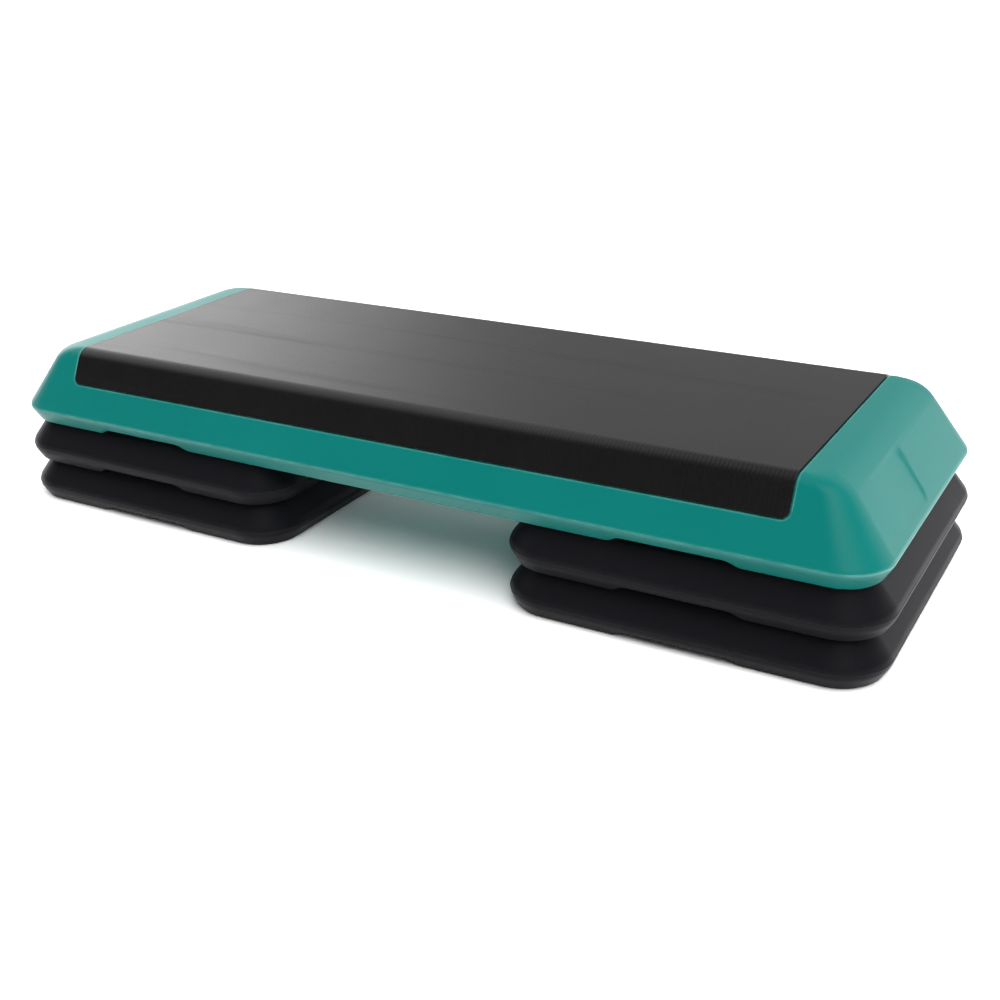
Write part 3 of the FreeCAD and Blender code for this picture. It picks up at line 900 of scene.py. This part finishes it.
class STEP_OT_tread(bpy.types.Operator):
    """Model the ribbed rubber tread"""
    bl_idname = "step.tread"
    bl_label = "Tread"

    def execute(self, context):
        platform = context.scene.step_platform
        tread = context.scene.step_tread
        piece = self.add_rib(platform, tread)
        count = math.ceil((tread_high.x - tread_low.x) / tread.pitch) + 1
        apply_modifier(piece, "ARRAY", count=count, use_relative_offset=False, use_constant_offset=True,
                       constant_offset_displace=(tread.pitch, 0, 0), use_merge_vertices=True,
                       merge_threshold=TOUCH)
        apply_modifier(piece, "SOLIDIFY", thickness=tread.thickness, offset=-1)
        inner = tread.thickness - tread.proud + OVERRUN
        cut(piece, tread_block("outline_cutter", platform, tread, inner, -OVERRUN, 0), "INTERSECT")
        smooth(piece, RIB_CREASE)
        dress(piece, tread_rubber(tread), "platform", "tread_mat")
        return {"FINISHED"}

    def add_rib(self, platform, tread):
        """One rib and one groove, swept over the platform."""
        low = tread_low.z - OVERRUN
        y = -hem_place(platform, -tread.proud, low)
        inward = Vector((0, math.cos(platform.side_slope), -math.sin(platform.side_slope)))
        wall = (tread.groove_width - tread.groove_floor) / 2
        deep = inward * tread.groove_depth
        along = Vector((1, 0, 0))
        steps = (along * wall + deep, along * tread.groove_floor, along * wall - deep,
                 along * (tread.pitch - tread.groove_width))
        piece = start_mesh("tread_sheet")
        start = Vector((tread_low.x - tread.pitch / 2, y, low))
        bpy.ops.mesh.primitive_plane_add(size=tread.pitch, location=start)
        bpy.ops.mesh.merge(type="CENTER")
        for step in steps:
            bpy.ops.mesh.extrude_vertices_move(TRANSFORM_OT_translate={"value": step})
        bpy.ops.mesh.select_all(action="SELECT")
        sweep_tread(platform, -tread.proud, low)
        face_up(piece)
        clear_selection()
        return piece


class STEP_OT_risers(bpy.types.Operator):
    """Model one riser and copy it to its four places"""
    bl_idname = "step.risers"
    bl_label = "Risers"

    def execute(self, context):
        seat = context.scene.step_seat
        riser = context.scene.step_riser
        master = loft("riser_body", 0, riser_rings(riser, seat))
        raise_notch(master, 0, riser_low.z, riser.tuck / riser.ridge_height, seat)
        self.add_plateau(master, riser)
        cut_seat(master, 0, riser_low.z, seat, riser)
        smooth(master)
        plastic = blown_plastic("riser_plastic", riser)
        for side, sign in SIDES:
            for layer, level in LAYERS:
                piece = master.copy()
                piece.data = master.data.copy()
                piece.name = f"{side}_{layer}_riser_body"
                context.collection.objects.link(piece)
                edit(piece)
                bpy.ops.mesh.select_all(action="SELECT")
                bpy.ops.transform.translate(value=(sign * stack_offset, 0, level))
                clear_selection()
                dress(piece, plastic, f"{side}_{layer}", f"{side}_{layer}_riser")
        bpy.data.objects.remove(master)
        return {"FINISHED"}

    def add_plateau(self, piece, riser):
        """Joins the plateau to the shoulder, with its root sunk into the riser."""
        rings = plateau_rings(riser, 0, riser_step, riser_step + riser.plateau_height)
        half_length, half_width, corner, level = rings[0]
        root = (half_length, half_width, corner, level - OVERRUN)
        cut(piece, loft("plateau", 0, [root] + rings), "UNION")


class STEP_OT_feet(bpy.types.Operator):
    """Give the push-in feet their rubber"""
    bl_idname = "step.feet"
    bl_label = "Feet"

    def execute(self, context):
        rubber = foot_rubber(context.scene.step_seat)
        for name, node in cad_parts.items():
            if "_foot_" in name:
                node.data.materials.clear()
                node.data.materials.append(rubber)
        return {"FINISHED"}


class STEP_OT_stage(bpy.types.Operator):
    """Add the white floor, the soft lights and the camera"""
    bl_idname = "step.stage"
    bl_label = "Stage"

    def execute(self, context):
        stage = context.scene.step_stage
        context.scene.view_settings.view_transform = "Standard"
        self.add_floor(stage)
        self.add_backdrop(stage)
        self.add_sky(context.scene, stage)
        self.add_suns(stage)
        self.add_camera(context.scene, stage)
        return {"FINISHED"}

    def paint(self, piece, name):
        """Gives a piece of the stage an empty material, and returns that material's nodes."""
        material = bpy.data.materials.new(name)
        material.use_nodes = True
        material.node_tree.nodes.clear()
        piece.data.materials.append(material)
        return material.node_tree

    def add_floor(self, stage):
        """White floor that keeps the shadow and shows as white to the camera."""
        clear_selection()
        bpy.ops.mesh.primitive_plane_add(size=stage.floor_span)
        floor = bpy.context.object
        floor.name = "floor"
        tree = self.paint(floor, "floor_paint")
        rays = add_node(tree, "ShaderNodeLightPath").outputs
        shown = calculate(tree, "MAXIMUM", rays["Is Camera Ray"], rays["Is Glossy Ray"])
        shown = calculate(tree, "MAXIMUM", shown, rays["Is Transmission Ray"])
        white = remap(tree, shown, WHOLE, (stage.floor_paint, stage.floor_shown))
        paint = add_node(tree, "ShaderNodeBsdfDiffuse", {"Color": white})
        add_node(tree, "ShaderNodeOutputMaterial", {"Surface": paint.outputs[0]})

    def add_backdrop(self, stage):
        """White dome over the floor, which the camera sees and the light passes."""
        clear_selection()
        bpy.ops.mesh.primitive_uv_sphere_add(radius=stage.floor_span / 2)
        dome = bpy.context.object
        dome.name = "backdrop"
        for ray in ("diffuse", "glossy", "transmission", "shadow"):
            setattr(dome, f"visible_{ray}", False)
        tree = self.paint(dome, "backdrop_paint")
        white = add_node(tree, "ShaderNodeEmission")
        add_node(tree, "ShaderNodeOutputMaterial", {"Surface": white.outputs[0]})

    def add_sky(self, scene, stage):
        """Surround that is brighter behind the step than before and above it, with soft lights in it."""
        scene.world = bpy.data.worlds.new("surround")
        scene.world.use_nodes = True
        tree = scene.world.node_tree
        tree.nodes.clear()
        toward = add_node(tree, "ShaderNodeTexCoord").outputs["Generated"]
        parts = add_node(tree, "ShaderNodeSeparateXYZ", {"Vector": toward}).outputs
        bright = facing(tree, toward, stage.bright_side)
        low = remap(tree, bright, BRIGHT_ENDS, (stage.sky_front, stage.sky_back), "SMOOTHSTEP")
        high = remap(tree, parts["Z"], HIGH_ENDS, WHOLE, "SMOOTHSTEP")
        back = mix(tree, high, low, stage.sky_high, "FLOAT")
        front = remap(tree, parts["Z"], TOP_ENDS, (stage.sky_front, stage.sky_top), "SMOOTHSTEP")
        behind = remap(tree, parts["Y"], BEHIND_ENDS, WHOLE, "SMOOTHSTEP")
        total = mix(tree, behind, front, back, "FLOAT")
        for name in SOFT_LIGHTS:
            turn = facing(tree, toward, getattr(stage, f"{name}_side"))
            ends = (getattr(stage, f"{name}_edge"), 1)
            lamp = remap(tree, turn, ends, (0, getattr(stage, f"{name}_strength")), "SMOOTHSTEP")
            total = calculate(tree, "ADD", total, lamp)
        sky = add_node(tree, "ShaderNodeBackground", {"Strength": total})
        add_node(tree, "ShaderNodeOutputWorld", {"Surface": sky.outputs[0]})

    def add_suns(self, stage):
        """Broad soft lights that light the step without showing in its sheen."""
        lights = (("sun", stage.sun_side, stage.sun_strength),
                  ("rear_sun", stage.rear_side, stage.rear_strength))
        for name, side, strength in lights:
            clear_selection()
            bpy.ops.object.light_add(type="SUN")
            sun = bpy.context.object
            sun.name = name
            sun.data.energy = strength
            sun.data.angle = stage.sun_spread
            sun.rotation_euler = Vector(side).to_track_quat("Z", "Y").to_euler()
            sun.visible_glossy = False

    def add_camera(self, scene, stage):
        """Camera at the viewing angle of the photograph."""
        clear_selection()
        bpy.ops.object.camera_add()
        camera = bpy.context.object
        camera.name = "camera"
        camera.data.lens = stage.lens
        camera.data.sensor_width = SENSOR_WIDTH
        away = Vector((math.sin(stage.azimuth) * math.cos(stage.elevation),
                       -math.cos(stage.azimuth) * math.cos(stage.elevation), math.sin(stage.elevation)))
        right = Vector((0, 0, 1)).cross(away).normalized()
        up = away.cross(right)
        basis = Matrix((right, up, away)).transposed().to_4x4()
        roll = Matrix.Rotation(stage.roll, 4, "Z")
        camera.matrix_world = Matrix.Translation(stage.camera_place) @ basis @ roll
        scene.camera = camera


class STEP_PT_sidebar(bpy.types.Panel):
    """The step's operators and sizes"""
    bl_idname = "STEP_PT_sidebar"
    bl_label = "Aerobic step"
    bl_space_type = "VIEW_3D"
    bl_region_type = "UI"
    bl_category = "Step"

    def draw(self, context):
        for operator in OPERATORS:
            self.layout.operator(operator.bl_idname)
        for group in SETTINGS:
            values = getattr(context.scene, group)
            box = self.layout.box()
            for name in values.bl_rna.properties.keys():
                if name not in ("rna_type", "name"):
                    box.prop(values, name)


SETTINGS = {
    "step_platform": PlatformSettings,
    "step_tread": TreadSettings,
    "step_riser": RiserSettings,
    "step_seat": SeatSettings,
    "step_stage": StageSettings,
}
OPERATORS = (STEP_OT_platform, STEP_OT_tread, STEP_OT_risers, STEP_OT_feet, STEP_OT_stage)
CLASSES = (*SETTINGS.values(), *OPERATORS, STEP_PT_sidebar)


def register():
    """Registers the classes and hangs the settings on the scene."""
    for item in CLASSES:
        bpy.utils.register_class(item)
    for name, group in SETTINGS.items():
        setattr(bpy.types.Scene, name, PointerProperty(type=group))


def unregister():
    """Takes the settings and the classes away again."""
    for name in SETTINGS:
        delattr(bpy.types.Scene, name)
    for item in reversed(CLASSES):
        bpy.utils.unregister_class(item)


def main():
    """Runs every operator in order."""
    register()
    GROUPS.update(grain=moulded_grain(), marks=handling_marks(), rub=edge_rub(), lines=painted_highlight_lines())
    for operator in OPERATORS:
        namespace, name = operator.bl_idname.split(".")
        getattr(getattr(bpy.ops, namespace), name)()


if __name__ == "__main__":
    main()
